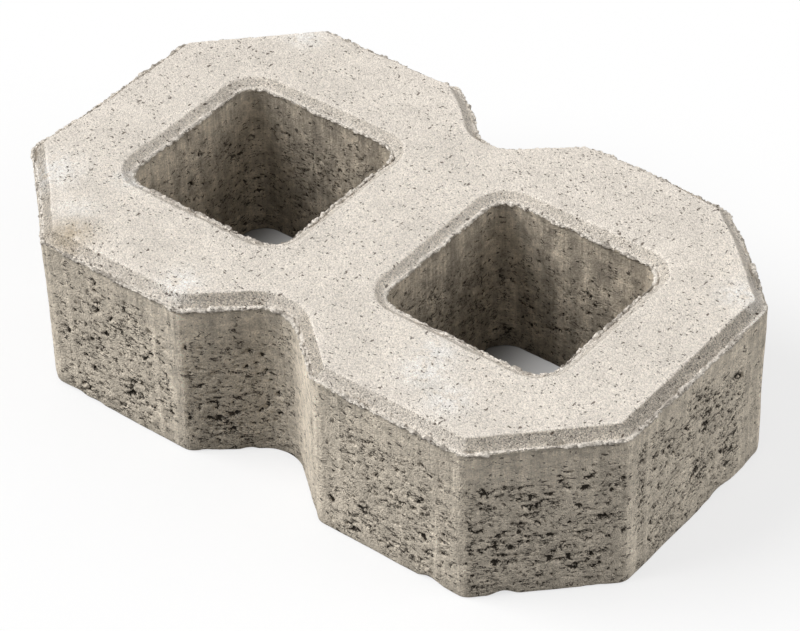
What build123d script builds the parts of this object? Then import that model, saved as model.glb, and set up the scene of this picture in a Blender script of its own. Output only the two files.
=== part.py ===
from build123d import *
import os
from math import radians, tan

# Concrete grass paver: two octagonal rings in line, cast as one block.
# X runs along the length, Y across it, and Z up from the bed face.
# Every size below is in millimetres and every angle in degrees.

# Plan of the block
paver_length = 305.0
paver_width = 185.0
paver_height = 80.0
corner_cut = 45.0

# Waisted notch in the middle of each long side
notch_half_width = 34.5
notch_flank_angle = 40.0
notch_root_radius = 17.0

# Sloped border and flat lip round the wearing face
lip_width = 1.6
border_run = 3.9
border_drop = 4.8
crest_corner_radius = 1.8

# Square open cells, one in each octagon
cell_length = 82.0
cell_width = 82.0
cell_spacing = 134.0
cell_corner_radius = 10.5
cell_lip_width = 1.4
cell_border_run = 3.2
cell_border_drop = 3.0

# How far a cutting tool runs past the face it cuts
cut_overrun = 5.0

os.makedirs("parts", exist_ok=True)

half_length = paver_length / 2
half_width = paver_width / 2
shoulder_height = paver_height - border_drop
notch_apex_depth = notch_half_width * tan(radians(notch_flank_angle))

# The wall's corners are rounded enough that the border still has a small radius at the crest.
wall_corner_radius = crest_corner_radius + border_run + lip_width


def half_turned(points):
    """The points of one long side, followed by the same points turned half a turn about Z."""
    return points + [(-x, -y) for x, y in points]


# Outline in plan: the near long side with the corner cut at each of its ends, then the far one.
near_side = [
    (-half_length, -half_width + corner_cut),
    (-half_length + corner_cut, -half_width),
    (-notch_half_width, -half_width),
    (0, -half_width + notch_apex_depth),
    (notch_half_width, -half_width),
    (half_length - corner_cut, -half_width),
    (half_length, -half_width + corner_cut),
]
outline = Sketch() + make_face(Polyline(*half_turned(near_side), close=True))
notch_apexes = outline.vertices().group_by(SortBy.DISTANCE)[0]
outline = fillet(outline.vertices() - notch_apexes, wall_corner_radius)
outline = fillet(outline.vertices().group_by(SortBy.DISTANCE)[0], notch_root_radius)

# The skirt carries the wall up to the lip. The crown stands inside it and carries the sloped border.
skirt = extrude(outline, shoulder_height)
crown = extrude(offset(outline, -lip_width), paver_height)
crown_top = crown.faces().sort_by(Axis.Z)[-1]
crown = chamfer(crown_top.edges(), border_run, border_drop, reference=crown_top)
block = skirt + crown


def cell_plan(margin, height):
    """The cell's rounded square, widened by a margin on every side, at a height."""
    return Pos(0, 0, height) * RectangleRounded(
        cell_length + 2 * margin,
        cell_width + 2 * margin,
        cell_corner_radius + margin,
    )


# Each cell is a straight shaft with a flared mouth above its own lip.
cell_shoulder = paver_height - cell_border_drop
shaft = extrude(cell_plan(0, -cut_overrun), paver_height + 2 * cut_overrun)
mouth = loft(
    [
        cell_plan(cell_lip_width, cell_shoulder),
        cell_plan(cell_lip_width + cell_border_run, paver_height),
    ],
    ruled=True,
)
cell = shaft + mouth
for side in (-1, 1):
    block -= Pos(side * cell_spacing / 2, 0, 0) * cell

export_step(block, "parts/paver_block.step")
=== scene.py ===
# %% [markdown]
# # A concrete grass paver
# The object is one casting of vibrated concrete: octagonal rings in line, joined at a notched waist, each
# with a square cell for soil and grass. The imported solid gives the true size, and everything here is fitted
# to it. This lesson makes the crown of that casting as one surface, faces its walls with torn concrete,
# lays crumbs along its lips, gives all of it one finish, and lights it softly.

# %% Load the solid that everything is fitted to
import itertools
import math

import bpy
import numpy as np
from mathutils import Matrix, Vector


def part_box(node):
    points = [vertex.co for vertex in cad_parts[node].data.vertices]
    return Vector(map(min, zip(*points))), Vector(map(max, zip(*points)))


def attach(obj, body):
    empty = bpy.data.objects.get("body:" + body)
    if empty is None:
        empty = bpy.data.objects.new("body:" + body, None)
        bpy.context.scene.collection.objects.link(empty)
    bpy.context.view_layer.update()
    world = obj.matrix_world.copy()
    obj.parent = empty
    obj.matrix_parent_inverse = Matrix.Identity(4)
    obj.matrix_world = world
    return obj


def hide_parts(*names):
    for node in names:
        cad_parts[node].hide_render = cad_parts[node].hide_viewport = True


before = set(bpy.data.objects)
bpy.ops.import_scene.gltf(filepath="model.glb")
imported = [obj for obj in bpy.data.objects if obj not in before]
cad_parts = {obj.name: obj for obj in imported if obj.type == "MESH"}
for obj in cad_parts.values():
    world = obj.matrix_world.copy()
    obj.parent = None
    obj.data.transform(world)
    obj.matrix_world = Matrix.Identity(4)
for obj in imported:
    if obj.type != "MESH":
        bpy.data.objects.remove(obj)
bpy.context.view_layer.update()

BLOCK_NODE = "paver_block"
block_low, block_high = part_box(BLOCK_NODE)
LENGTH, WIDTH, HEIGHT = (high - low for low, high in zip(block_low, block_high))
print("solid", [round(value, 4) for value in (LENGTH, WIDTH, HEIGHT)], "m")

# %% [markdown]
# ## The camera
# The photograph looks down on a corner of the block from well above, through a long lens, so parallel edges
# converge only a little. The place and the angles were fitted to the outline of the block in the
# photograph. A camera can be aimed with a constraint, but a fitted camera has a roll of its own, so its
# three axes are built from yaw, pitch and roll and written into its matrix.

# %% Camera
EYE = Vector((0.6381, -0.7815, 0.8752))
YAW = math.radians(-39.04)
PITCH = math.radians(40.02)
ROLL = math.radians(-1.516)
SENSOR_WIDTH_MM = 36.0
PHOTO_WIDTH_PX = 800.0
FOCAL_LENGTH_PX = 3157.8

ahead = Vector((math.sin(YAW) * math.cos(PITCH), math.cos(YAW) * math.cos(PITCH), -math.sin(PITCH)))
level_right = Vector((math.cos(YAW), -math.sin(YAW), 0))
level_up = level_right.cross(ahead)
camera_right = level_right * math.cos(ROLL) + level_up * math.sin(ROLL)
camera_up = level_up * math.cos(ROLL) - level_right * math.sin(ROLL)

camera_data = bpy.data.cameras.new("photo_camera")
camera_data.sensor_fit = "HORIZONTAL"
camera_data.sensor_width = SENSOR_WIDTH_MM
camera_data.lens = SENSOR_WIDTH_MM * FOCAL_LENGTH_PX / PHOTO_WIDTH_PX
camera = bpy.data.objects.new("photo_camera", camera_data)
bpy.context.scene.collection.objects.link(camera)
camera_axes = Matrix((camera_right, camera_up, -ahead)).transposed().to_4x4()
camera.matrix_world = Matrix.Translation(EYE) @ camera_axes
bpy.context.scene.camera = camera
print("lens", round(camera_data.lens, 1), "mm")

# %% [markdown]
# ## The plan of the block
# In plan the block is bounded by straight runs joined by arcs: crisp little arcs at the outer corners, and
# a wide one at the root of each notch. A curve object could draw it, but later steps need the normal at
# every station as well, so the path is worked out here. On each run the heading turns at a constant rate,
# which covers a straight run (no turn) and an arc with one formula.

# %% A path of straight runs and tangent arcs
MM = 0.001


def rounded_path(corners, radii, stations):
    """Points and left-hand normals of a closed path, at distances from the middle of its first arc.

    Every corner is replaced by a tangent arc of its radius. A run is given by its start, its heading and its
    curvature k. After a distance d it has gone d * sinc(k d) forward and k d d / 2 * sinc(k d / 2) squared to
    the left, where sinc(a) is sin(a) / a, and its heading has turned by k d.
    """
    corners = np.asarray(corners, float)
    radii = np.asarray(radii, float)
    edges = np.roll(corners, -1, axis=0) - corners
    edge_lengths = np.hypot(edges[:, 0], edges[:, 1])
    headings = np.arctan2(edges[:, 1], edges[:, 0])
    headings_in = np.roll(headings, 1)
    turns = (headings - headings_in + np.pi) % (2 * np.pi) - np.pi
    tangents = radii * np.tan(np.abs(turns) / 2)
    directions = edges / edge_lengths[:, None]
    directions_in = np.roll(directions, 1, axis=0)

    arc_lengths = radii * np.abs(turns)
    run_lengths = edge_lengths - tangents - np.roll(tangents, -1)
    lengths = np.stack([arc_lengths, run_lengths], axis=1).ravel()
    curvatures = np.stack([np.sign(turns) / radii, np.zeros_like(radii)], axis=1).ravel()
    start_headings = np.stack([headings_in, headings], axis=1).ravel()
    arc_starts = corners - directions_in * tangents[:, None]
    run_starts = corners + directions * tangents[:, None]
    starts = np.stack([arc_starts, run_starts], axis=1).reshape(-1, 2)
    distances = np.concatenate([[0.0], np.cumsum(lengths)])

    along = (np.asarray(stations, float) + arc_lengths[0] / 2) % distances[-1]
    run = np.clip(np.searchsorted(distances, along, side="right") - 1, 0, len(lengths) - 1)
    gone = along - distances[run]
    bend = curvatures[run] * gone
    forward = gone * np.sinc(bend / np.pi)
    aside = gone * bend / 2 * np.sinc(bend / (2 * np.pi)) ** 2
    heading = start_headings[run]
    points = starts[run] + np.stack(
        [
            forward * np.cos(heading) - aside * np.sin(heading),
            forward * np.sin(heading) + aside * np.cos(heading),
        ],
        axis=1,
    )
    normals = np.stack([-np.sin(heading + bend), np.cos(heading + bend)], axis=1)
    return points, normals, distances[-1]


# %% Outline of the block
CORNER_CUT = 45.0 * MM
NOTCH_HALF_WIDTH = 34.5 * MM
NOTCH_FLANK_ANGLE = math.radians(40.0)
NOTCH_ROOT_RADIUS = 17.0 * MM
WALL_CORNER_RADIUS = 7.3 * MM

half_length = LENGTH / 2
half_width = WIDTH / 2
notch_apex = half_width - NOTCH_HALF_WIDTH * math.tan(NOTCH_FLANK_ANGLE)
near_corners = [
    (0, -notch_apex),
    (-NOTCH_HALF_WIDTH, -half_width),
    (-half_length + CORNER_CUT, -half_width),
    (-half_length, -half_width + CORNER_CUT),
    (-half_length, half_width - CORNER_CUT),
    (-half_length + CORNER_CUT, half_width),
    (-NOTCH_HALF_WIDTH, half_width),
]
outline_corners = near_corners + [(-x, -y) for x, y in near_corners]
outline_radii = 2 * ([NOTCH_ROOT_RADIUS] + [WALL_CORNER_RADIUS] * (len(near_corners) - 1))
outline_length = rounded_path(outline_corners, outline_radii, [0])[2]
print("outline", round(outline_length, 4), "m")

# %% Outline of a cell, about its own centre
CELL_SIZE = 82.0 * MM
CELL_SPACING = 134.0 * MM
CELL_CORNER_RADIUS = 10.5 * MM
CELL_SIGNS = [(-1, -1), (-1, 1), (1, 1), (1, -1)]

cell_half = CELL_SIZE / 2
cell_corners = [(x * cell_half, y * cell_half) for x, y in CELL_SIGNS]
cell_radii = [CELL_CORNER_RADIUS] * len(cell_corners)
cell_length = rounded_path(cell_corners, cell_radii, [0])[2]
print("cell outline", round(cell_length, 4), "m")

# %% [markdown]
# ## Stations round one half
# The block is the same after half a turn, so one half is made and copied. Its stations run clockwise from
# the root of the near notch, round the octagon to the root of the far notch, and back along the seam in the
# middle of the block. Every station is paired with the point of the cell that lies in the same direction
# from the cell's centre, so each station carries one slice through the ring.

# %% Stations on the wall, on the seam and on the cell
WALL_STATIONS = 500
SEAM_STATIONS = 68
CELL_LOOKUP = 4000


def half_outline(count):
    """Evenly spaced points and normals on half the outline, with both ends exactly on the seam."""
    distance = np.linspace(0, outline_length / 2, count)
    xy, normals, _ = rounded_path(outline_corners, outline_radii, distance)
    xy[[0, -1], 0] = 0
    normals[[0, -1], 0] = 0
    return xy, normals


wall_xy, wall_normal = half_outline(WALL_STATIONS)
cell_centre = np.array([-CELL_SPACING / 2, 0])
lookup_distance = np.linspace(0, cell_length, CELL_LOOKUP)
lookup_xy = rounded_path(cell_corners, cell_radii, lookup_distance[:-1])[0]
lookup_angle = np.unwrap(np.arctan2(lookup_xy[:, 1], lookup_xy[:, 0]))
lookup_angle = np.append(lookup_angle, lookup_angle[0] - 2 * np.pi)


def cell_station(xy):
    """The cell's points and normals in the same directions from its centre as the points xy."""
    angle = np.arctan2(xy[:, 1] - cell_centre[1], xy[:, 0] - cell_centre[0])
    angle = lookup_angle[0] - (lookup_angle[0] - angle) % (2 * np.pi)
    distance = np.interp(-angle, -lookup_angle, lookup_distance)
    points, normals, _ = rounded_path(cell_corners, cell_radii, distance)
    return points + cell_centre, normals


root_y = abs(wall_xy[0, 1])
seam_share = np.linspace(1, -1, SEAM_STATIONS + 2)[1:-1]
seam_xy = np.stack([np.zeros(SEAM_STATIONS), seam_share * root_y], axis=1)
ring_xy = np.concatenate([wall_xy, seam_xy])
cell_xy, cell_normal = cell_station(ring_xy)
STATIONS = len(ring_xy)
print(STATIONS, "stations in each half")

# %% [markdown]
# ## The slice through the ring
# One slice is a closed profile: over the cell's lip and sloped border, across the wearing face, over the
# crest, down the outer border to its lip, and back behind the walls and under the bed. The walls themselves
# are faced in a later step, so here the profile steps back behind them. The border is slightly hollow, as
# the tamper head leaves it: steep under the crest and flatter towards the lip. Rows crowd at crests and
# lips, where the shape is finest.

# %% Rows of the borders, as distance inside the wall and height
LIP_WIDTH = 1.6 * MM
BORDER_RUN = 3.9 * MM
BORDER_DROP = 4.8 * MM
CELL_LIP_WIDTH = 1.4 * MM
CELL_BORDER_RUN = 4.1 * MM
CELL_BORDER_DROP = 3.2 * MM
LIP_END = 0.5 * MM
ABOVE_CREST = 1.0 * MM
BELOW_CREST = 0.8 * MM
SHOULDER = HEIGHT - BORDER_DROP
CELL_SHOULDER = HEIGHT - CELL_BORDER_DROP


def border_rows(lip, run, drop, hollow, ease, count):
    """Rows from the wearing face over the crest, down the border and across the lip.

    A share t of the way out, the border has dropped by t (1 + h (1 - t)) of its drop, with h the hollow. The
    corners at the crest and at the foot of the slope are eased by adding a cosine hump of the ease's length.
    """
    crest = lip + run
    upper = np.linspace(crest + ABOVE_CREST, crest - BELOW_CREST, count // 2, endpoint=False)
    lower = np.linspace(crest - BELOW_CREST, LIP_END, count - count // 2)
    inset = np.concatenate([upper, lower])
    share = np.clip((crest - inset) / run, 0, 1)
    height = HEIGHT - drop * share * (1 + hollow * (1 - share))
    for corner, bend in ((crest, -1 - hollow), (lip, 1 - hollow)):
        gap = np.clip(np.abs(inset - corner) / ease, 0, 1)
        height += bend * drop / run * ease / 8 * (1 + np.cos(np.pi * gap))
    return inset, height


outer_border = border_rows(LIP_WIDTH, BORDER_RUN, BORDER_DROP, hollow=0.40, ease=0.45 * MM, count=20)
cell_border = border_rows(
    CELL_LIP_WIDTH, CELL_BORDER_RUN, CELL_BORDER_DROP, hollow=0.25, ease=0.80 * MM, count=16
)
print("borders drop", round(BORDER_DROP / MM, 1), "and", round(CELL_BORDER_DROP / MM, 1), "mm")

# %% Rows behind the wall facings
HIDDEN_INSET = 5.0 * MM
HIDDEN_ROWS = 4
HIDDEN_STEP = 6.0 * MM
LIP_TUCK = 0.1 * MM
LIP_THICKNESS = 0.5 * MM


def hidden_rows(shoulder):
    """Rows from under a lip, back behind the facing and down to the bed."""
    inset = np.array([LIP_END + LIP_TUCK, HIDDEN_INSET, HIDDEN_INSET, HIDDEN_INSET])
    height = np.array([shoulder - LIP_THICKNESS, shoulder - HIDDEN_STEP, HIDDEN_STEP, 0])
    return inset, height


outer_profile = [np.concatenate(pair) for pair in zip(outer_border, hidden_rows(SHOULDER))]
cell_profile = [np.concatenate(pair) for pair in zip(cell_border, hidden_rows(CELL_SHOULDER))]
print(len(outer_profile[0]), "outer rows and", len(cell_profile[0]), "cell rows")

# %% [markdown]
# ## From slices to a surface
# A grid of stations and rows is a surface: each row is an array of points, one for each station. Rows on
# the outer side hang from the wall's path, rows on the cell side from the cell's path, and the wearing face
# and the bed are blended between the two. On the seam there is no outer wall, so those faces are left out
# there. Two halves are then joined by merging the points that coincide on the seam. A solid with bevelled
# edges would give the same block, but a grid keeps every point's place in the slice, which the later steps
# need.

# %% Rows of points
TOP_ROWS = 14
BED_ROWS = 4


def outer_row(inset, height):
    """A row that follows the outer wall at a distance inside it, and runs straight along the seam."""
    wall_part = wall_xy - inset * wall_normal
    seam_part = np.stack([np.zeros(SEAM_STATIONS), seam_share * (root_y - inset)], axis=1)
    xy = np.concatenate([wall_part, seam_part])
    return np.column_stack([xy, np.full(STATIONS, height)])


def cell_row(inset, height):
    """A row that follows the cell's wall at a distance inside the concrete."""
    xy = cell_xy + inset * cell_normal
    return np.column_stack([xy, np.full(STATIONS, height)])


def blend_rows(first, last, count):
    """Rows between two rows, spaced evenly: first times one minus the share, plus last times the share."""
    share = np.linspace(0, 1, count + 2)[1:-1, None, None]
    return first * (1 - share) + last * share


outer_rows = np.stack([outer_row(inset, height) for inset, height in zip(*outer_profile)])
cell_rows = np.stack([cell_row(inset, height) for inset, height in zip(*cell_profile)])[::-1]
top_rows = blend_rows(cell_rows[-1], outer_rows[0], TOP_ROWS)
bed_rows = blend_rows(outer_rows[-1], cell_rows[0], BED_ROWS)
half_grid = np.concatenate([cell_rows, top_rows, outer_rows, bed_rows])
ROWS = len(half_grid)
first_outer = len(cell_rows) + TOP_ROWS
last_outer = first_outer + len(outer_rows) - 1
print("grid of", ROWS, "rows by", STATIONS, "stations in each half")

# %% Faces of the grid, then both halves welded on the seam
row_index, station_index = np.meshgrid(np.arange(ROWS), np.arange(STATIONS), indexing="ij")
next_row = (row_index + 1) % ROWS
next_station = (station_index + 1) % STATIONS
corner_ids = [
    row_index * STATIONS + station_index,
    row_index * STATIONS + next_station,
    next_row * STATIONS + next_station,
    next_row * STATIONS + station_index,
]
half_faces = np.stack(corner_ids, axis=-1)
on_outer_side = (row_index >= first_outer) & (row_index < last_outer)
on_seam = station_index >= WALL_STATIONS - 1
half_faces = half_faces[~(on_outer_side & on_seam)]

half_points = half_grid.reshape(-1, 3)
HALF_TURN = np.array([-1, -1, 1])
all_points = np.concatenate([half_points, half_points * HALF_TURN])
all_faces = np.concatenate([half_faces, half_faces + len(half_points)])

WELD_STEP = 1e-7
weld_key = np.round(all_points / WELD_STEP).astype(np.int64)
_, first_use, welded = np.unique(weld_key, axis=0, return_index=True, return_inverse=True)
faces = welded.reshape(-1)[all_faces]
used, faces = np.unique(faces, return_inverse=True)
faces = faces.reshape(-1, 4)
source = first_use[used]
points = all_points[source]
point_row = np.tile(row_index.ravel(), 2)[source]
point_station = np.tile(station_index.ravel(), 2)[source]

edges = np.sort(np.stack([faces, np.roll(faces, -1, axis=1)], axis=-1).reshape(-1, 2), axis=1)
_, edge_uses = np.unique(edges, axis=0, return_counts=True)
print(len(points), "points, edges used other than twice:", np.sum(edge_uses != 2))

# %% [markdown]
# ## Masks that follow the slice
# The relief differs from zone to zone: the lip crumbles, the crest is worn, and the wearing face stays
# true. A mask is a number from 0 to 1 for every point. It is made once for each row of the slice and then
# handed to every point of that row, so one short array steers the whole ring.

# %% Zone masks for the rows
LIP_FADE = 0.7 * MM
RIM_SHARE = 0.6
RIM_FADE = 0.5 * MM
CREST_REACH = 1.1 * MM
BORDER_MARGIN = 0.2 * MM
BORDER_STEEPNESS = 3.5


def near_zero(distance, reach):
    """One at distance 0, falling evenly to zero at the reach."""
    return np.clip(1 - np.abs(distance) / reach, 0, 1)


def zone_rows(border, lip, run):
    """Masks along one side of the slice, from the wearing face down to the bed, by zone name."""
    inset = border[0]
    hidden = np.zeros(HIDDEN_ROWS)
    mid_border = near_zero(inset - lip - run / 2, run / 2 + BORDER_MARGIN)
    zones = {
        "lip": near_zero(np.maximum(inset - lip, 0), LIP_FADE),
        "rim": near_zero(np.maximum(inset - RIM_SHARE * lip, 0), RIM_FADE),
        "crest": near_zero(inset - lip - run, CREST_REACH),
        "border": np.clip(BORDER_STEEPNESS * mid_border, 0, 1),
        "shown": np.ones(len(inset)),
    }
    return {name: np.append(mask, hidden) for name, mask in zones.items()}


outer_zones = zone_rows(outer_border, LIP_WIDTH, BORDER_RUN)
cell_zones = zone_rows(cell_border, CELL_LIP_WIDTH, CELL_BORDER_RUN)
on_ring = (point_station < WALL_STATIONS) | (point_row < first_outer)
zones = {}
for name in outer_zones:
    rows = np.zeros(ROWS)
    rows[: len(cell_rows)] = cell_zones[name][::-1]
    rows[len(cell_rows) : first_outer] = name == "shown"
    rows[first_outer : last_outer + 1] = outer_zones[name]
    zones[name] = rows[point_row] * on_ring
in_cell = (point_row < len(cell_rows)).astype(float)
print("points in each zone:", {name: int(np.sum(mask > 0)) for name, mask in zones.items()})

# %% [markdown]
# ## Noise to shape the relief with
# Vibrated concrete is never quite flat, and its edges break into crumbs. Blender's Displace modifier could
# do this with a texture, but seeded noise in numpy lets every zone move in its own direction, and gives the
# same result in every run. The noise is read at a place in space, so pieces that meet move alike where they
# meet.

# %% Seeded noise in space
NOISE_TABLE = 64


def lattice_noise(place, size, seed):
    """Smooth random values from -1 to 1 at points in space.

    A lattice with cells of the given size carries a random number at each crossing. A point blends the eight
    numbers round it, weighted along each axis by t t (3 - 2 t), where t is its share of the way across.
    """
    table = np.random.default_rng(seed).uniform(-1, 1, (NOISE_TABLE,) * 3)
    scaled = place / np.asarray(size)
    corner = np.floor(scaled).astype(int)
    share = scaled - corner
    ease = share * share * (3 - 2 * share)
    total = np.zeros(len(place))
    for step in itertools.product((0, 1), repeat=3):
        weight = np.prod(np.where(step, ease, 1 - ease), axis=1)
        crossing = (corner + step) % NOISE_TABLE
        total += weight * table[crossing[:, 0], crossing[:, 1], crossing[:, 2]]
    return total


def layered_noise(place, size, seed, layers=3):
    """Noise of several sizes added: each layer is half as large and half as strong as the one before it."""
    total = np.zeros(len(place))
    for layer in range(layers):
        share = 0.5**layer
        total += share * lattice_noise(place, np.asarray(size) * share, seed + layer)
    return total


# %% Relief that the crown and the walls share
UNEVEN_PLACES_MM = [
    (-152, -50, 24, 1.7),
    (107, 92, 17, -2.6),
    (-20, 82, 15, 1.9),
]
WAVE_HEIGHT = 0.28 * MM
WAVE_SIZE = 38 * MM
STRAYS_MM = [
    (0.22, 2.6, 31),
    (0.25, 6.0, 32),
]
BITE_DEPTH = 0.6 * MM
BITE_SIZE = np.array([7, 7, 20]) * MM


def plan_gaps(place, spots):
    """Distances in plan from every point to every spot."""
    return np.linalg.norm(place[:, None, :2] - np.asarray(spots)[None, :, :2], axis=2)


def unevenness(place):
    """Metres to move outwards: a bell-shaped bulge or loss round each uneven place of the wall, in plan.

    An uneven place has its X, its Y, its reach and the greatest move, in millimetres.
    """
    spots = np.array(UNEVEN_PLACES_MM) * MM
    gap = plan_gaps(place, spots) / spots[None, :, 2]
    return np.sum(spots[None, :, 3] * np.exp(-gap * gap), axis=1)


def waviness(place):
    """Metres to move along the normal: the gentle waves of a face that was never planed."""
    return WAVE_HEIGHT * layered_noise(place, WAVE_SIZE, 11)


def lip_wander(place):
    """Metres by which a lip's edge strays, less a bite where a piece of it has broken away.

    A stray has a height and a size in millimetres, and a seed.
    """
    stray = sum(height * MM * lattice_noise(place, size * MM, seed) for height, size, seed in STRAYS_MM)
    broken = np.clip((lattice_noise(place, BITE_SIZE, 35) - 0.35) / 0.25, 0, 1)
    return stray - BITE_DEPTH * broken


# %% Move the points of the crown
GRIT_HEIGHT = 0.12 * MM
GRIT_SIZE = 5.0 * MM
WEAR_HEIGHT = 0.28 * MM
WEAR_SIZE = 2.6 * MM
LOSS_DEPTH = 0.40 * MM
LOSS_SIZE = 7.0 * MM

ring_out = np.concatenate([wall_normal, np.zeros((SEAM_STATIONS, 2))])
outward_rows = np.zeros((ROWS, STATIONS, 3))
outward_rows[: len(cell_rows), :, :2] = -cell_normal
outward_rows[first_outer : last_outer + 1, :, :2] = ring_out
outward = np.concatenate([outward_rows.reshape(-1, 3), outward_rows.reshape(-1, 3) * HALF_TURN])[source]
UPWARD = np.array([0, 0, 1.0])

corner_points = points[faces]
face_normal = np.cross(corner_points[:, 2] - corner_points[:, 0], corner_points[:, 3] - corner_points[:, 1])
normal = np.stack([np.bincount(faces.ravel(), np.repeat(face_normal[:, k], 4)) for k in range(3)], axis=1)
normal /= np.linalg.norm(normal, axis=1)[:, None]

grit = GRIT_HEIGHT * layered_noise(points, GRIT_SIZE, 21)
worn = WEAR_HEIGHT * lattice_noise(points, WEAR_SIZE, 36)
worn -= LOSS_DEPTH * np.clip(lattice_noise(points, LOSS_SIZE, 37) * 2 - 0.6, 0, 1)
along_normal = waviness(points) + grit * zones["border"] + worn * zones["crest"]
move = normal * (along_normal * zones["shown"])[:, None]
move += (outward + UPWARD) * (zones["lip"] * lip_wander(points))[:, None]
move += outward * ((1 - in_cell) * unevenness(points))[:, None]
crown_points = points + move
print("largest move", round(float(np.abs(move).max()) / MM, 2), "mm")

# %% [markdown]
# ## From arrays to pieces
# Every piece below ends as arrays of points and faces. They go into a mesh in one call each, which is far
# faster than adding faces one by one. The volume inside the faces tells which way they point: if it comes
# out negative, all of them are turned round. Long strips also get a map of their own for the export's baked
# pictures: the strip is cut into lengths, which are stacked in the square.

# %% Make a piece from points and faces
CAP_PLACE = 0.001
CM3_PER_M3 = 1e6
pieces = []


def keep_masks(piece, masks):
    """Store arrays of one number for each point as attributes that a material can read."""
    for name, mask in masks.items():
        layer = piece.data.attributes.new(name, "FLOAT", "POINT")
        layer.data.foreach_set("value", mask.astype(np.float32))


def make_piece(name, vertices, quads, caps=None, places=None, masks=None):
    """A mesh object that rides on the block. Quads are smooth, and the flat caps close a strip's ends.

    The volume is a sixth of the sum over triangles of a . (b x c). Caps lie in a plane through the origin, so
    they add nothing to it.
    """
    a, b, c, d = (vertices[quads[:, k]] for k in range(4))
    volume = (np.sum(a * np.cross(b, c)) + np.sum(a * np.cross(c, d))) / 6
    caps = np.zeros((0, 4), int) if caps is None else caps
    turn = slice(None, None, -1 if volume < 0 else 1)
    corners = np.concatenate([quads[:, turn].ravel(), caps[:, turn].ravel()])
    starts = np.concatenate([np.arange(len(quads)) * 4, quads.size + np.arange(len(caps)) * caps.shape[1]])
    made = bpy.data.meshes.new(name)
    made.vertices.add(len(vertices))
    made.loops.add(len(corners))
    made.polygons.add(len(starts))
    made.vertices.foreach_set("co", vertices.ravel())
    made.loops.foreach_set("vertex_index", corners)
    made.polygons.foreach_set("loop_start", starts)
    made.polygons.foreach_set("use_smooth", starts < quads.size)
    if places is not None:
        made.uv_layers.new(name="OFBake")
        cap_places = np.full((caps.size, 2), CAP_PLACE)
        all_places = np.concatenate([places[:, turn].reshape(-1, 2), cap_places])
        made.uv_layers["OFBake"].uv.foreach_set("vector", all_places.ravel())
    made.update(calc_edges=True)
    made.validate()
    piece = bpy.data.objects.new(name, made)
    bpy.context.scene.collection.objects.link(piece)
    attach(piece, "root")
    keep_masks(piece, masks or {})
    pieces.append(piece)
    print(name, 2 * len(quads), "triangles,", round(abs(volume) * CM3_PER_M3, 1), "cm3")
    return piece


crown = make_piece("concrete_crown", crown_points, faces)
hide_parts(BLOCK_NODE)

# %% Faces and map of a strip
MAP_GAP_ACROSS = 0.01
MAP_GAP_UP = 0.02


def strip_faces(rows, stations, lengths, closed):
    """Quads of a section carried along a path, end caps for an open path, and places on a square map.

    The section closes on itself. A station's share of the path, times the number of lengths, is the length
    that it lies on plus its share of that length. Across, the row's share of the section is used.
    """
    row, station = np.meshgrid(np.arange(rows), np.arange(stations - (not closed)), indexing="ij")
    row_steps = np.stack([row, row + 1, row + 1, row], axis=-1).reshape(-1, 4)
    station_steps = np.stack([station, station, station + 1, station + 1], axis=-1).reshape(-1, 4)
    ids = (row_steps % rows) * stations + station_steps % stations
    per_length = math.ceil(stations / lengths)
    length = station_steps[:, :1] // per_length
    across = (station_steps - length * per_length) / per_length
    upward = (length + MAP_GAP_UP + (1 - 2 * MAP_GAP_UP) * row_steps / rows) / lengths
    places = np.stack([MAP_GAP_ACROSS + (1 - 2 * MAP_GAP_ACROSS) * across, upward], axis=-1)
    grid = np.arange(rows * stations).reshape(rows, stations)
    caps = None if closed else np.stack([grid[::-1, 0], grid[:, -1]])
    return ids, caps, places


def whole_path(corners, radii, count):
    """Evenly spaced points and normals all the way round a path."""
    length = rounded_path(corners, radii, [0])[2]
    xy, normals, _ = rounded_path(corners, radii, np.arange(count) * length / count)
    return xy, normals


# %% [markdown]
# ## Walls of torn concrete
# The walls slid against a steel mould. It left them smooth and streaked near the top and beside the upright
# corners, and tore voids into them further down, where the mix was dry. A bump map could hint at the voids,
# but they are deep enough to cast shadows and to break the outline, so each wall gets a facing: a section
# carried round the block or the cell, with a point every half millimetre or so. The voids go in and a
# little up, so that they are undercut above and catch the light on their lower edge, as real ones do.

# %% Section of a facing
FACING_DEPTH = 8.0 * MM
EDGE_ROUND = 0.45 * MM
FOOT_ROUND = 1.3 * MM
ROUND_ROWS = 4
EDGE_GAP = 0.1 * MM
TUCK_INSET = 1.5 * MM
TUCK_DROP = 0.9 * MM
BACK_DROP = 4.0 * MM
BACK_FOOT = 3.0 * MM


def facing_section(top, rows):
    """Insets and heights of a facing's closed section, and whether each row shows.

    It starts behind the lip, comes out over a rounded edge, goes down the face and round the foot, and
    returns behind the face. Both rounds are quarter circles.
    """
    turn = np.linspace(0, np.pi / 2, ROUND_ROWS)
    edge = top - EDGE_GAP
    edge_inset = EDGE_ROUND * (1 - np.sin(turn))
    edge_height = edge - EDGE_ROUND * (1 - np.cos(turn))
    face_height = np.linspace(edge - EDGE_ROUND, FOOT_ROUND, rows)[1:-1]
    foot_inset = FOOT_ROUND * (1 - np.cos(turn))
    foot_height = FOOT_ROUND * (1 - np.sin(turn))
    start = [(FACING_DEPTH, top - BACK_DROP), (TUCK_INSET, top - TUCK_DROP)]
    finish = [(HIDDEN_INSET, 0.0), (FACING_DEPTH, BACK_FOOT)]
    face_rows = np.concatenate(
        [
            np.column_stack([edge_inset, edge_height]),
            np.column_stack([np.zeros(len(face_height)), face_height]),
            np.column_stack([foot_inset, foot_height]),
        ]
    )
    section = np.concatenate([start, face_rows, finish])
    shown = np.ones(len(section))
    shown[[0, 1, -2, -1]] = 0
    return section[:, 0], section[:, 1], shown


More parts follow.
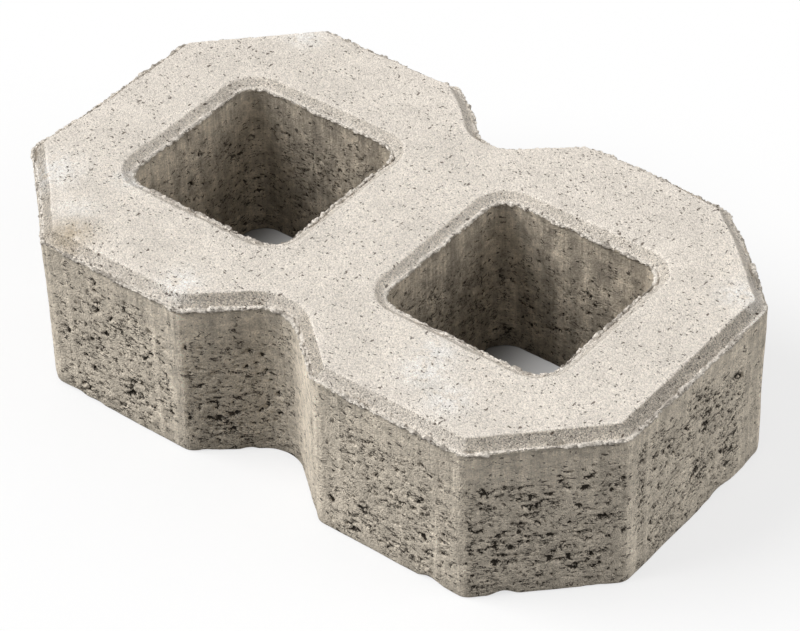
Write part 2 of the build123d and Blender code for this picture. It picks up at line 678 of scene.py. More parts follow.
# %% Voids
def smooth_step(value, low, high):
    """0 below low, 1 above high, and t t (3 - 2 t) in between, where t is the share of the way."""
    t = np.clip((value - low) / (high - low), 0, 1)
    return t * t * (3 - 2 * t)


VOID_SORTS = [
    (4.2, 0.74, 2.4, 110),
    (2.2, 0.59, 1.5, 120),
]
VOID_FLATNESS = 1.8
BEND_SIZE = 2.2 * MM
BEND_REACH = 0.8 * MM
LEVEL_RISE = 0.75


def torn_voids(place, amount):
    """Depth in metres of the voids at points of a wall, and a field that is above a half inside them.

    Noise that is longer sideways than upwards, and bent a little, is cut off at a level that rises where the
    amount falls short of 1. What stands above the level is open, and is deeper the further above it stands.
    Each sort of void has a size in millimetres, a level, a greatest depth in millimetres and a seed.
    """
    lying = place * (1, 1, VOID_FLATNESS)
    bent = np.stack([lattice_noise(lying, BEND_SIZE, 101 + k) for k in range(3)], axis=1)
    lying = lying + BEND_REACH * bent
    depth = np.zeros(len(place))
    field = np.zeros(len(place))
    for size, level, deepest, seed in VOID_SORTS:
        rise = layered_noise(lying, size * MM, seed) - level - LEVEL_RISE * (1 - amount)
        depth = np.maximum(depth, deepest * MM * smooth_step(rise, -0.05, 0.30))
        field = np.maximum(field, np.clip(0.5 + rise, 0, 1))
    return depth, field


# %% Calm places, where the mould rubbed the concrete smooth
outer_corners = np.array([corner for corner in outline_corners if abs(corner[0]) > 1 * MM])
BAND_WIDTH = 3.5 * MM
BAND_FADE = 4.0 * MM
LINE_GAP = 13.0 * MM
LINE_WIDTH = 2.2 * MM
WIDE_BAND_CORNER = np.array([152.5, 47.5]) * MM
WIDE_BAND_WIDTH = 12.0 * MM
WIDE_BAND_FADE = 8.0 * MM
FLANK_CENTRE = np.array([17, -80, 40]) * MM
FLANK_REACH = np.array([20, 16, 60]) * MM


def dragged(place, out):
    """Mask of the smooth bands at the upright corners, and of a line beside each, on faces along an axis.

    One corner has a wider band.
    """
    square_on = smooth_step(np.max(np.abs(out), axis=1), 0.78, 0.98)
    gap = np.min(plan_gaps(place, outer_corners), axis=1)
    band = near_zero(np.maximum(gap - BAND_WIDTH, 0), BAND_FADE)
    beside = 0.85 * near_zero(gap - LINE_GAP, LINE_WIDTH)
    wide_gap = plan_gaps(place, [WIDE_BAND_CORNER])[:, 0]
    wide = near_zero(np.maximum(wide_gap - WIDE_BAND_WIDTH, 0), WIDE_BAND_FADE) * (out[:, 0] > 0.9)
    return np.maximum(np.maximum(band, beside) * square_on, 0.9 * wide)


def rubbed(place, out):
    """Mask of one notch's smooth flank: 2 minus twice the squared distance, in reaches from its centre."""
    gap = np.sum(((place - FLANK_CENTRE) / FLANK_REACH) ** 2, axis=1)
    return np.clip(2 - 2 * gap, 0, 1) * (out[:, 0] < -0.2)


# %% How torn a wall is, and where its foot is nicked
CALM_DROP = 12 * MM
CELL_CALM_DROP = 15 * MM
CELL_AMOUNT = 0.92
END_BOOSTS = [
    (0.13, 0.3, 0.6),
    (0.07, 0.8, 0.95),
]
NICK_SIZE = np.array([15, 15, 40]) * MM
CHIP_PLACE = np.array([118.6, -81.4]) * MM
CHIP_REACH = 7 * MM


def void_amount(place, out, below, calm, is_cell):
    """How torn a wall is, about 1 where voids are thick, and a mask of the clusters that they form.

    The amount rises at a ragged line below the lip, and falls in calm places. At the block's ends it is
    boosted where the wall faces along X. A boost has a share, and the part of the normal along X at which it
    starts and at which it is full.
    """
    drop = CELL_CALM_DROP if is_cell else CALM_DROP
    ragged = below + 10 * MM * lattice_noise(place, 16 * MM, 131)
    amount = smooth_step(ragged, drop - 9 * MM, drop + 8 * MM) * (1 - 0.8 * calm)
    if is_cell:
        amount *= CELL_AMOUNT
    else:
        at_end = smooth_step(np.abs(place[:, 0]), 60 * MM, 90 * MM)
        for boost, low, high in END_BOOSTS:
            amount *= 1 + boost * at_end * smooth_step(np.abs(out[:, 0]), low, high)
    cluster = smooth_step(lattice_noise(place, 12 * MM, 141), -0.5, 0.5)
    amount *= 0.92 + 0.14 * cluster
    return amount, cluster


def foot_nicks(place):
    """How much of the foot is missing: noise above a level, and one rounded chip."""
    nick = 0.45 * np.clip(layered_noise(place, NICK_SIZE, 41) - 0.15, 0, 1)
    nick += 0.6 * smooth_step(near_zero(plan_gaps(place, [CHIP_PLACE])[:, 0], CHIP_REACH), 0, 1)
    return nick


# %% A facing carried along a path
FOOT_REACH = 5.0 * MM
NICK_DEPTH = 1.9 * MM
NICK_RISE = 2.0 * MM
LIP_REACH = 2.6 * MM
FINE_WAVE_HEIGHT = 0.06 * MM
FINE_WAVE_SIZE = 3.4 * MM
LEAST_COVER = 1.0 * MM
OPEN_DEPTH = 0.3 * MM


def wall_facing(path_xy, out_xy, section, top, is_cell):
    """Points of a facing and the masks that its finish reads.

    A point is the path's point less the inset along the outward normal, at the section's height. It then
    moves outwards by the waves and inwards by the voids, half as far up as in. The foot is nicked, most of
    all where a chip is missing.
    """
    insets, heights, shown = section
    flat = path_xy[None] - insets[:, None, None] * out_xy[None]
    level = np.broadcast_to(heights[:, None, None], (*flat.shape[:2], 1))
    place = np.concatenate([flat, level], axis=2).reshape(-1, 3)
    out = np.tile(np.column_stack([out_xy, np.zeros(len(out_xy))]), (len(insets), 1))
    shows = np.repeat(shown, len(path_xy))
    below = top - place[:, 2]

    drag = np.zeros(len(place)) if is_cell else dragged(place, out)
    rub = np.zeros(len(place)) if is_cell else rubbed(place, out)
    amount, cluster = void_amount(place, out, below, np.maximum(drag, rub), is_cell)
    clear = shows * smooth_step(below, 1 * MM, 4 * MM) * smooth_step(place[:, 2], 1 * MM, 5 * MM)
    depth, hollow = torn_voids(place, amount)
    depth *= clear

    foot = near_zero(place[:, 2], FOOT_REACH) * shows
    nick = foot_nicks(place)
    wander = near_zero(below, LIP_REACH) * shows * lip_wander(place)
    wave = (waviness(place) + FINE_WAVE_HEIGHT * layered_noise(place, FINE_WAVE_SIZE, 21)) * shows
    wave += wander
    if not is_cell:
        wave += unevenness(place)
    inward = np.minimum(depth + NICK_DEPTH * foot * nick, HIDDEN_INSET - LEAST_COVER)
    rise = 0.5 * depth + NICK_RISE * foot * nick + wander
    moved = place + out * (wave - inward)[:, None] + UPWARD * rise[:, None]
    moved[:, 2] = np.maximum(moved[:, 2], 0)
    along_side = smooth_step(np.abs(out[:, 1]), 0.8, 0.97)
    in_notch = smooth_step(NOTCH_HALF_WIDTH - np.abs(place[:, 0]), 0, 10 * MM) * (1 - is_cell)
    masks = {
        "wall_share": np.ones(len(place)),
        "cell_share": np.full(len(place), float(is_cell)),
        "depth_share": np.clip(below / SHOULDER, 0, 1),
        "drag_share": drag,
        "rubbed_share": rub,
        "torn_share": amount * (0.55 + 0.8 * cluster) * (1 - 0.3 * along_side),
        # A mask for painted shade: the walls inside each notch are darkened, apart from the rubbed flank.
        "damp_share": in_notch * (1 - rub),
        "hollow_share": hollow * clear,
    }
    print("open", round(float(np.mean(depth[shows > 0] > OPEN_DEPTH)), 3), "of a facing")
    return moved, masks


# %% Facings of the outer walls, one for each octagon
FACE_STATIONS = 740
FACE_ROWS = 112

outer_section = facing_section(SHOULDER, FACE_ROWS)
face_xy, face_out = half_outline(FACE_STATIONS)
face_strip = strip_faces(len(outer_section[0]), FACE_STATIONS, lengths=2, closed=False)
for name, side in (("left_wall", 1), ("right_wall", -1)):
    wall_points, wall_masks = wall_facing(side * face_xy, side * face_out, outer_section, SHOULDER, False)
    make_piece(name, wall_points, *face_strip, wall_masks)

# %% Facings of the cells
CELL_FACE_STATIONS = 450
CELL_FACE_ROWS = 96

cell_section = facing_section(CELL_SHOULDER, CELL_FACE_ROWS)
shaft_xy, shaft_normal = whole_path(cell_corners, cell_radii, CELL_FACE_STATIONS)
shaft_strip = strip_faces(len(cell_section[0]), CELL_FACE_STATIONS, lengths=2, closed=True)
for name, side in (("left_cell", -1), ("right_cell", 1)):
    shaft = shaft_xy + (side * CELL_SPACING / 2, 0)
    cell_points, cell_masks = wall_facing(shaft, -shaft_normal, cell_section, CELL_SHOULDER, True)
    make_piece(name, cell_points, *shaft_strip, cell_masks)

# %% [markdown]
# ## Crumbs along the lips
# Where the tamper head met the mould, a thin ridge of crumbs stands on every lip: grains of sand and
# cement, packed and broken. Scattered grains would be a way to make it, but a ridge in one piece bakes and
# exports more cleanly. It is a thin tube carried along the lip, with its surface pushed out into packed
# grains and sunk into the lip where the ridge has broken off. The creases between the grains are darkened
# with painted shade, and in places some of the grains are dark with dirt.


# %% Packed grains in space
def packed_grains(place, size, seed):
    """Depth below the nearest grain's top, and that grain's own number from 0 to 1.

    Every cell of a lattice holds one grain at a random spot. The depth is the distance to the nearest spot,
    squared, in cells, so that each grain is a rounded cap and grains meet in sharp creases.
    """
    rng = np.random.default_rng(seed)
    spots = rng.uniform(0, 1, (NOISE_TABLE, NOISE_TABLE, NOISE_TABLE, 3))
    numbers = rng.uniform(0, 1, (NOISE_TABLE,) * 3)
    scaled = place / np.asarray(size)
    corner = np.floor(scaled).astype(int)
    nearest = np.full(len(place), 9.0)
    number = np.zeros(len(place))
    for step in itertools.product((-1, 0, 1), repeat=3):
        cell = corner + step
        crossing = tuple((cell % NOISE_TABLE).T)
        gap = np.sum((scaled - cell - spots[crossing]) ** 2, axis=1)
        nearer = gap < nearest
        nearest = np.where(nearer, gap, nearest)
        number = np.where(nearer, numbers[crossing], number)
    return nearest, number


# %% A ridge of crumbs carried along a path
RIDGE_STEP = 0.40 * MM
RIDGE_ROWS = 22
RIDGE_INSET = 0.45 * MM
RIDGE_HALF_WIDTH = 0.85 * MM
COARSE_GRAIN = 1.9 * MM
FINE_GRAIN = 0.85 * MM
STAIN_PLACE = np.array([-98, -84]) * MM
DIRT_REACH = 48 * MM


def crumb_ridge(path_xy, out_xy, height, half_height, seed):
    """Points of a closed tube along a lip, one row of stations for each step round its section, and masks.

    The section is an ellipse round a point a little inside the wall. Each point moves away from it by the
    grains' caps and the ridge's own thickness, which wanders and drops away where the ridge is broken.
    """
    turn = np.linspace(0, 2 * np.pi, RIDGE_ROWS, endpoint=False)[:, None]
    reach = RIDGE_HALF_WIDTH * np.cos(turn) - RIDGE_INSET
    flat = path_xy[None] + reach[:, :, None] * out_xy[None]
    level = np.broadcast_to(height + half_height * np.sin(turn), flat.shape[:2])
    tube = np.concatenate([flat, level[:, :, None]], axis=2)
    aside = np.broadcast_to(np.cos(turn)[:, :, None] * out_xy[None], flat.shape)
    raised = np.broadcast_to(np.sin(turn), flat.shape[:2])
    facing = np.concatenate([aside, raised[:, :, None]], axis=2).reshape(-1, 3)
    tube = tube.reshape(-1, 3)
    coarse_depth, coarse_number = packed_grains(tube, COARSE_GRAIN, seed)
    fine_depth, fine_number = packed_grains(tube, FINE_GRAIN, seed + 1)
    along = tube * (1, 1, 0.2)
    thickness = 0.45 * MM * layered_noise(along, 6 * MM, seed + 2)
    gone = np.clip((lattice_noise(along, 9 * MM, seed + 5) - 0.10) / 0.25, 0, 1)
    push = 0.64 * MM * (coarse_number - 0.25) - 0.75 * MM * coarse_depth
    push += 0.40 * MM * fine_number - 0.50 * MM * fine_depth
    push += thickness - 0.9 * MM * gone
    # Painted shade in the creases between the grains. The dirt on some grains is added below.
    crevice = 0.7 * np.clip((coarse_depth - 0.22) / 0.25, 0, 1)
    crevice += 0.5 * np.clip((fine_depth - 0.25) / 0.3, 0, 1)
    dirt = smooth_step(lattice_noise(along, 14 * MM, seed + 7), 0.0, 0.5)
    stained = smooth_step(near_zero(plan_gaps(tube, [STAIN_PLACE])[:, 0], DIRT_REACH), 0.0, 0.4)
    dirty = np.maximum(dirt, stained) * (coarse_number > 0.6)
    masks = {"crevice_share": np.clip(crevice + 0.9 * dirty, 0, 1), "lip_share": np.ones(len(tube))}
    return tube + facing * push[:, None], masks


# %% Ridge round the outer lip
RIM_SINK = 0.15 * MM
RIM_HALF_HEIGHT = 0.58 * MM

outer_count = int(outline_length / RIDGE_STEP)
rim_xy, rim_normal = whole_path(outline_corners, outline_radii, outer_count)
rim_strip = strip_faces(RIDGE_ROWS, outer_count, lengths=12, closed=True)
rim_points, rim_masks = crumb_ridge(rim_xy, rim_normal, SHOULDER - RIM_SINK, RIM_HALF_HEIGHT, 51)
rim_points[:, :2] += np.tile(rim_normal, (RIDGE_ROWS, 1)) * unevenness(rim_points)[:, None]
make_piece("outer_lip_crumbs", rim_points, *rim_strip, rim_masks)

# %% Ridges round the cells' lips
MOUTH_SINK = 0.20 * MM
MOUTH_HALF_HEIGHT = 0.62 * MM

cell_count = int(cell_length / RIDGE_STEP)
mouth_xy, mouth_normal = whole_path(cell_corners, cell_radii, cell_count)
mouth_height = CELL_SHOULDER - MOUTH_SINK
mouth_strip = strip_faces(RIDGE_ROWS, cell_count, lengths=6, closed=True)
for name, side, seed in (("left_cell_crumbs", -1, 61), ("right_cell_crumbs", 1, 71)):
    mouth = mouth_xy + (side * CELL_SPACING / 2, 0)
    ridge_points, ridge_masks = crumb_ridge(mouth, -mouth_normal, mouth_height, MOUTH_HALF_HEIGHT, seed)
    make_piece(name, ridge_points, *mouth_strip, ridge_masks)

# %% [markdown]
# ## What the finish needs to know of the crown
# Some marks belong to places rather than to chance: the sandy border below the crest, pale blooms of lime
# on the wearing face, and a stain. Painting them by hand would do, but a few spots with a place and a
# radius are easier to move. They are kept as attributes of the points, as the masks of the walls are.

# %% Attributes of the crown
BLOOM_SPOTS_MM = [
    (-131, -58, 11),
    (-104, -75, 9),
    (-102, -42, 7),
    (-41, -82, 8),
    (-109, 79, 8),
    (67, -55, 8),
    (70, -66, 10),
    (86, -74, 9),
    (104, -29, 6),
    (141, 44, 8),
]
STAIN_REACH = 10 * MM

bloom_spots = np.array(BLOOM_SPOTS_MM) * MM
spot_gap = plan_gaps(points, bloom_spots) / bloom_spots[None, :, 2]
stain_gap = plan_gaps(points, [STAIN_PLACE])[:, 0] / STAIN_REACH
# Painted light and shade on the border: it is painted paler on the long sides, the far side and the left end,
# and keeps its darker tone on the near corner cuts, the near notch flanks and the right end.
long_side = smooth_step(np.abs(outward[:, 1]), 0.80, 0.97)
long_side = np.maximum(long_side, smooth_step(outward[:, 1], 0.35, 0.68))
left_end = smooth_step(-outward[:, 0], 0.75, 0.95)
painted_light_side = np.maximum(0.55 * long_side, 0.85 * left_end) * (1 - in_cell)
crown_masks = {
    "border_share": zones["border"] * (1 - painted_light_side) * (1 - 0.5 * in_cell),
    "crest_share": zones["crest"],
    "lip_share": zones["rim"],
    "bloom_share": np.max(np.exp(-(spot_gap**2)), axis=1),
    "stain_share": np.exp(-(stain_gap**2)),
}
keep_masks(crown, crown_masks)
print(len(BLOOM_SPOTS_MM), "blooms")

# %% [markdown]
# ## Building blocks for node trees
# A finish in Blender is a tree of nodes, which can be drawn by hand in the editor. In a script it soon
# becomes hard to read, so a few helpers add one kind of node each and fill its inputs with values or links.
# What the helpers return is an output, ready to go into the next one.


# %% Node helpers
def node(tree, kind, values=(), **settings):
    """Add a shader node, set its properties, then fill its inputs by name or number with values or links."""
    made = tree.nodes.new("ShaderNode" + kind)
    for name, setting in settings.items():
        setattr(made, name, setting)
    for socket, value in dict(values).items():
        if isinstance(value, bpy.types.NodeSocket):
            tree.links.new(value, made.inputs[socket])
        else:
            made.inputs[socket].default_value = value
    return made


def maths(tree, operation, *values):
    """One Math node, with its values in order."""
    return node(tree, "Math", enumerate(values), operation=operation).outputs[0]


def times(tree, first, second):
    """Two values multiplied."""
    return maths(tree, "MULTIPLY", first, second)


def line(tree, value, slope, offset):
    """A value times a slope, plus an offset."""
    return maths(tree, "MULTIPLY_ADD", value, slope, offset)


def larger(tree, first, second):
    """The larger of two values."""
    return maths(tree, "MAXIMUM", first, second)


def vectors(tree, operation, first, second):
    """One Vector Math node with two vectors."""
    return node(tree, "VectorMath", {0: first, 1: second}, operation=operation).outputs[0]


def ramp(tree, value, low, high, to_low=0.0, to_high=1.0):
    """An eased step: to_low below the low value, to_high above the high one."""
    values = {"Value": value, "From Min": low, "From Max": high, "To Min": to_low, "To Max": to_high}
    return node(tree, "MapRange", values, interpolation_type="SMOOTHSTEP").outputs["Result"]


def blend(tree, share, first, second):
    """A mix of two colours."""
    return node(tree, "Mix", {"Factor": share, "A": first, "B": second}, data_type="RGBA").outputs["Result"]


# %% Patterns in space
def noise(tree, place, size_mm, detail=2.0, roughness=0.5, distortion=0.0):
    """Noise with features of about the given size, on a place in millimetres."""
    values = {"Vector": place, "Scale": 1 / size_mm}
    values |= {"Detail": detail, "Roughness": roughness, "Distortion": distortion}
    return node(tree, "TexNoise", values).outputs["Fac"]


def random_cells(tree, place, size_mm):
    """Cells of about a size: the distance from each one's middle in cells, and its three random numbers."""
    scale = maths(tree, "DIVIDE", 1.0, size_mm)
    cells = node(tree, "TexVoronoi", {"Vector": place, "Scale": scale}, feature="F1")
    numbers = node(tree, "SeparateColor", {"Color": cells.outputs["Color"]})
    return cells.outputs["Distance"], numbers.outputs


# %% Groups of nodes
def new_group(name, inputs, outputs):
    """A group that reads a place and numbers and puts out numbers: its tree, its inputs and its outputs."""
    group = bpy.data.node_groups.new(name, "ShaderNodeTree")
    group.interface.new_socket("Place", in_out="INPUT", socket_type="NodeSocketVector")
    for label, value in inputs.items():
        socket = group.interface.new_socket(label, in_out="INPUT", socket_type="NodeSocketFloat")
        socket.default_value = value
    for label in outputs:
        group.interface.new_socket(label, in_out="OUTPUT", socket_type="NodeSocketFloat")
    return group, group.nodes.new("NodeGroupInput").outputs, group.nodes.new("NodeGroupOutput").inputs


def put_out(group, exits, **values):
    """Link values to the outputs of a group, by name."""
    for label, value in values.items():
        group.links.new(value, exits[label])
    print(group.name, len(group.nodes), "nodes")


def use_group(tree, group, **values):
    """A group placed in a tree with its own values: its outputs."""
    return node(tree, "Group", values, node_tree=group).outputs


# %% [markdown]
# ## Pits left by air bubbles
# Small bubbles rose to the wearing face and left pits of a millimetre or less, drawn out a little by the
# tamper head. They are too small to model one by one. A Voronoi texture puts one point into every cell of
# space, and a pit is a warped disc round some of those points, chosen and sized by the random colour of the
# cell. More are chosen where a slow noise is high, and most are small and faint. The mask has a hard edge
# for the colour. The bowl is wider and softer, for the bump.

# %% Group of pits
air_pits, pit_in, pit_out = new_group(
    "air_pits",
    {"Spacing": 5.0, "Share": 0.5, "Width": 0.12},
    ["Mask", "Bowl"],
)
pit_place = pit_in["Place"]
crowding = ramp(air_pits, noise(air_pits, pit_place, 9.0), 0.35, 0.62, 0.4, 1.3)
warp = node(air_pits, "TexNoise", {"Vector": pit_place, "Scale": 0.9, "Detail": 2.0}).outputs["Color"]
warp = vectors(air_pits, "SUBTRACT", warp, (0.5, 0.5, 0.5))
warp = vectors(air_pits, "MULTIPLY", warp, (1.8, 1.8, 1.8))
warped = vectors(air_pits, "ADD", pit_place, warp)
distance, lottery = random_cells(air_pits, warped, pit_in["Spacing"])
chosen = maths(air_pits, "LESS_THAN", lottery["Red"], times(air_pits, pit_in["Share"], crowding))
skewed = maths(air_pits, "POWER", lottery["Green"], 2.0)
width = times(air_pits, pit_in["Width"], line(air_pits, skewed, 1.1, 0.5))
reach = maths(air_pits, "DIVIDE", distance, width)
darkness = times(air_pits, chosen, line(air_pits, lottery["Blue"], 0.2, 0.8))
# The disc is the mask that the finish uses to paint shade, and some dirt, into pits and marks.
disc = times(air_pits, ramp(air_pits, reach, 1.1, 0.8), darkness)
bowl = times(air_pits, ramp(air_pits, reach, 1.9, 0.3), chosen)
put_out(air_pits, pit_out, Mask=disc, Bowl=bowl)

# %% [markdown]
# ## Grains of sand
# Seen close, every face is sandy: grains of half a millimetre, some pale and some dark, stand out of the
# cement. Plain noise gives soft clouds instead of grains. The cells of a Voronoi texture have hard edges
# and a random colour each, so a cell gives a grain its own tone, and the distance from its middle gives it
# a rounded top.

# %% Group of sand grains
sand_grains, sand_in, sand_out = new_group("sand_grains", {"Size": 0.6}, ["Tone", "Dome"])
distance, lottery = random_cells(sand_grains, sand_in["Place"], sand_in["Size"])
put_out(sand_grains, sand_out, Tone=lottery["Red"], Dome=ramp(sand_grains, distance, 0.9, 0.0))

# %% [markdown]
# ## Marks torn in the walls
# Between the modelled voids the walls carry finer tears, too small for the mesh. Most are specks and short
# lying dashes, so the pits serve again, flattened and in two sizes. Torn flakes leave thin curved cracks as
# well: they follow the line where a noise passes its middle value, and another noise breaks that line into
# short arcs.

# %% Group of torn marks
DASH_SORTS = [
    (2.8, 0.235),
    (1.3, 0.265),
]

torn_marks, mark_in, mark_out = new_group("torn_marks", {"Amount": 0.5}, ["Mask", "Depth"])
mark_place = mark_in["Place"]
mark_share = mark_in["Amount"]
lying = vectors(torn_marks, "MULTIPLY", mark_place, (1, 1, 2.1))
mark_mask = 0.0
mark_depth = 0.0
for spacing, width in DASH_SORTS:
    dashes = use_group(torn_marks, air_pits, Place=lying, Spacing=spacing, Share=mark_share, Width=width)
    mark_mask = larger(torn_marks, mark_mask, dashes["Mask"])
    mark_depth = larger(torn_marks, mark_depth, times(torn_marks, dashes["Bowl"], spacing * width))
contour = noise(torn_marks, lying, 6.0, 3.0, 0.6, 0.8)
off_line = maths(torn_marks, "ABSOLUTE", maths(torn_marks, "SUBTRACT", contour, 0.5))
unbroken = line(torn_marks, mark_share, 0.15, noise(torn_marks, mark_place, 4.0, 1.0))
thin_line = ramp(torn_marks, off_line, 0.026, 0.012)
crack = times(torn_marks, thin_line, ramp(torn_marks, unbroken, 0.60, 0.65))
mark_mask = larger(torn_marks, mark_mask, crack)
put_out(torn_marks, mark_out, Mask=mark_mask, Depth=line(torn_marks, crack, 0.3, mark_depth))

# %% [markdown]
# ## Streaks dragged by the mould
# When the mould was drawn off, it dragged fine paste along the walls and left upright streaks. A wave
# texture would be too even. Noise that is stretched along Z gives streaks of uneven length and width.

# %% Group of streaks
drag_streaks, drag_in, drag_out = new_group("drag_streaks", {}, ["Tone"])
upright = vectors(drag_streaks, "MULTIPLY", drag_in["Place"], (1, 1, 0.06))
thin = noise(drag_streaks, upright, 1.5, 2.0, 0.6)
broad = noise(drag_streaks, upright, 6.0, 1.0)
put_out(drag_streaks, drag_out, Tone=line(drag_streaks, broad, 0.5, times(drag_streaks, thin, 0.5)))

# %% [markdown]
# ## The concrete
# The finish starts from the tone of each zone: pale and sandy on the wearing face, darker on the rough
# border, warm grey on the walls, and darker in the cells. The border's darker tone is partly painted shade,
# lifted on the long sides, the far side and the left end. Grain, mottling, streaks and blooms vary the
# tone. Painted shade darkens the walls under the lip, inside the notches and towards the foot, and the
# pits, marks, voids and the crumbs' creases, which carry some dirt as well. The same patterns feed the bump
# and the roughness, so that colour and relief agree. All pieces are one casting, so they share this one
# material.

# %% Place, masks and noises that the finish reads
concrete = bpy.data.materials.new("concrete")
concrete.use_nodes = True
tree = concrete.node_tree
shader = tree.nodes["Principled BSDF"]
shader.inputs["Specular IOR Level"].default_value = 0.25

coordinates = node(tree, "TexCoord").outputs["Object"]
place = vectors(tree, "MULTIPLY", coordinates, (1 / MM, 1 / MM, 1 / MM))
shares = {}
for name in (*crown_masks, *wall_masks, "crevice_share"):
    shares[name.removesuffix("_share")] = node(tree, "Attribute", attribute_name=name).outputs["Fac"]
mottle = noise(tree, place, 18.0, 3.0, 0.6)
grain = noise(tree, place, 1.0, 3.0, 0.7)
patches = noise(tree, vectors(tree, "MULTIPLY", place, (1, 1, 1.6)), 5.0, 3.0, 0.6)
soil = noise(tree, vectors(tree, "MULTIPLY", place, (1, 1, 0.7)), 8.0, 3.0, 0.65)
streaks = use_group(tree, drag_streaks, Place=place)["Tone"]
print("masks read:", list(shares))

# %% Tones of the zones
TOP_TONE = (0.855, 0.784, 0.698, 1)
LIP_TONE = (0.95, 0.88, 0.785, 1)
BORDER_TONE = (0.73, 0.658, 0.565, 1)
WALL_TONE = (0.792, 0.705, 0.58, 1)
CELL_TONE = (0.52, 0.455, 0.365, 1)
BLOOM_TONE = (0.98, 0.945, 0.895, 1)
STAIN_TONE = (0.55, 0.45, 0.32, 1)

walls = blend(tree, shares["cell"], WALL_TONE, CELL_TONE)
ragged_border = maths(tree, "ADD", shares["border"], line(tree, grain, 0.5, -0.25))
ragged_border = maths(tree, "ADD", ragged_border, line(tree, patches, 0.4, -0.2))
tops = blend(tree, ramp(tree, ragged_border, 0.2, 0.85), TOP_TONE, BORDER_TONE)
tops = blend(tree, shares["lip"], tops, LIP_TONE)
base = blend(tree, shares["wall"], tops, walls)
lime = ramp(tree, noise(tree, place, 5.0, 4.0, 0.7), 0.38, 0.53)
bloom = times(tree, lime, times(tree, shares["bloom"], 0.85))
base = blend(tree, bloom, base, BLOOM_TONE)
stain = times(tree, line(tree, lime, 0.5, 0.35), shares["stain"])
base = blend(tree, stain, base, STAIN_TONE)

# %% Changes of tone, each a pattern and how strongly it counts
sand = use_group(tree, sand_grains, Place=place, Size=line(tree, shares["wall"], 0.12, 0.46))
grain_depth = line(tree, shares["wall"], 0.03, 0.14)
sand_depth = line(tree, shares["border"], 0.42, line(tree, shares["wall"], -0.12, 0.45))
streak_depth = line(tree, shares["cell"], 0.20, line(tree, shares["drag"], 0.26, 0.17))
streak_depth = maths(tree, "ADD", streak_depth, ramp(tree, shares["depth"], 0.05, 0.35, 0.20, 0.0))
streak_depth = times(tree, streak_depth, shares["wall"])
calm = larger(tree, times(tree, shares["drag"], 0.8), shares["rubbed"])
tone_changes = {
    "grain": (ramp(tree, grain, 0.25, 0.75, -0.6, 0.4), grain_depth),
    "sand": (maths(tree, "SUBTRACT", sand["Tone"], 0.5), sand_depth),
    "streaks": (ramp(tree, streaks, 0.32, 0.68, -0.5, 0.5), streak_depth),
    "rough patches": (ramp(tree, patches, 0.3, 0.72, 0.15, -0.19), shares["wall"]),
    "worn crest": (shares["crest"], 0.10),
    "soil": (ramp(tree, soil, 0.34, 0.66, 0.16, -0.28), shares["cell"]),
    "calm places": (calm, 0.12),
    # Painted shade darkens the walls inside the notches.
    "damp notch": (shares["damp"], -0.17),
    "shade under the lip": (ramp(tree, shares["depth"], 0.008, 0.035, -0.22, 0.0), shares["wall"]),
}
tone = ramp(tree, mottle, 0.25, 0.75, 0.92, 1.06)
for pattern, depth in tone_changes.values():
    tone = times(tree, tone, line(tree, pattern, depth, 1.0))
# Painted shade: the walls darken towards the foot, where the floor meets them.
tone = times(tree, tone, ramp(tree, shares["depth"], 0.86, 1.0, 1.0, 0.80))
base = node(tree, "VectorMath", {0: base, "Scale": tone}, operation="SCALE").outputs[0]
print("changes of tone:", list(tone_changes))

# %% Pits, marks, voids and creases, darkened with painted shade and some dirt
PIT_SHADE_AND_DIRT = (0.075, 0.05, 0.03, 1)
VOID_SHADE_AND_DIRT = (0.04, 0.032, 0.024, 1)

across = vectors(tree, "MULTIPLY", place, (1.0, 0.45, 1.0))
lengthwise = vectors(tree, "MULTIPLY", place, (0.55, 1.0, 1.0))
speck_share = line(tree, shares["border"], 0.2, 0.8)
pits = use_group(tree, air_pits, Place=across, Spacing=2.4, Share=0.95, Width=0.135)
specks = use_group(tree, air_pits, Place=lengthwise, Spacing=1.15, Share=speck_share, Width=0.21)
on_top = maths(tree, "SUBTRACT", 1.0, shares["wall"])
pit_mask = times(tree, larger(tree, pits["Mask"], specks["Mask"]), on_top)

marks = use_group(tree, torn_marks, Place=place, Amount=line(tree, shares["torn"], 0.52, 0.05))
mark_mask = times(tree, marks["Mask"], shares["wall"])
mark_depth = times(tree, marks["Depth"], shares["wall"])
ragged_hollow = maths(tree, "ADD", shares["hollow"], line(tree, grain, 0.6, -0.3))
# Pits, marks and voids are darkened with painted shade, the shadow of their hollows, and some dirt. The
# crumbs' creases are darkened with painted shade and, on some grains, dirt.
dark_places = {
    "pits": (pit_mask, 0.92, PIT_SHADE_AND_DIRT),
    "marks": (mark_mask, 0.92, VOID_SHADE_AND_DIRT),
    "voids": (ramp(tree, ragged_hollow, 0.51, 0.57), 0.95, VOID_SHADE_AND_DIRT),
    "crevices": (shares["crevice"], 0.55, PIT_SHADE_AND_DIRT),
}
for mask, depth, dark_tone in dark_places.values():
    base = blend(tree, times(tree, mask, depth), base, dark_tone)
tree.links.new(base, shader.inputs["Base Color"])
tree.links.new(ramp(tree, grain, 0.3, 0.7, 0.86, 0.97), shader.inputs["Roughness"])
print("dark places:", list(dark_places))

# %% Bump, and the material on every piece
relief = {
    "sand": (sand["Dome"], line(tree, shares["border"], 0.42, 0.22)),
    "pits": (pit_mask, -0.45),
    "marks": (mark_depth, -0.7),
    "streaks": (times(tree, streaks, shares["drag"]), 0.8),
}
height = times(tree, grain, line(tree, shares["wall"], -0.2, 0.6))
for pattern, depth in relief.values():
    height = line(tree, pattern, depth, height)
bump = node(tree, "Bump", {"Strength": 1.0, "Distance": 1 * MM, "Height": height})
tree.links.new(bump.outputs["Normal"], shader.inputs["Normal"])
for piece in pieces:
    piece.data.materials.append(concrete)
print(len(tree.nodes), "nodes in the concrete of", len(pieces), "pieces")

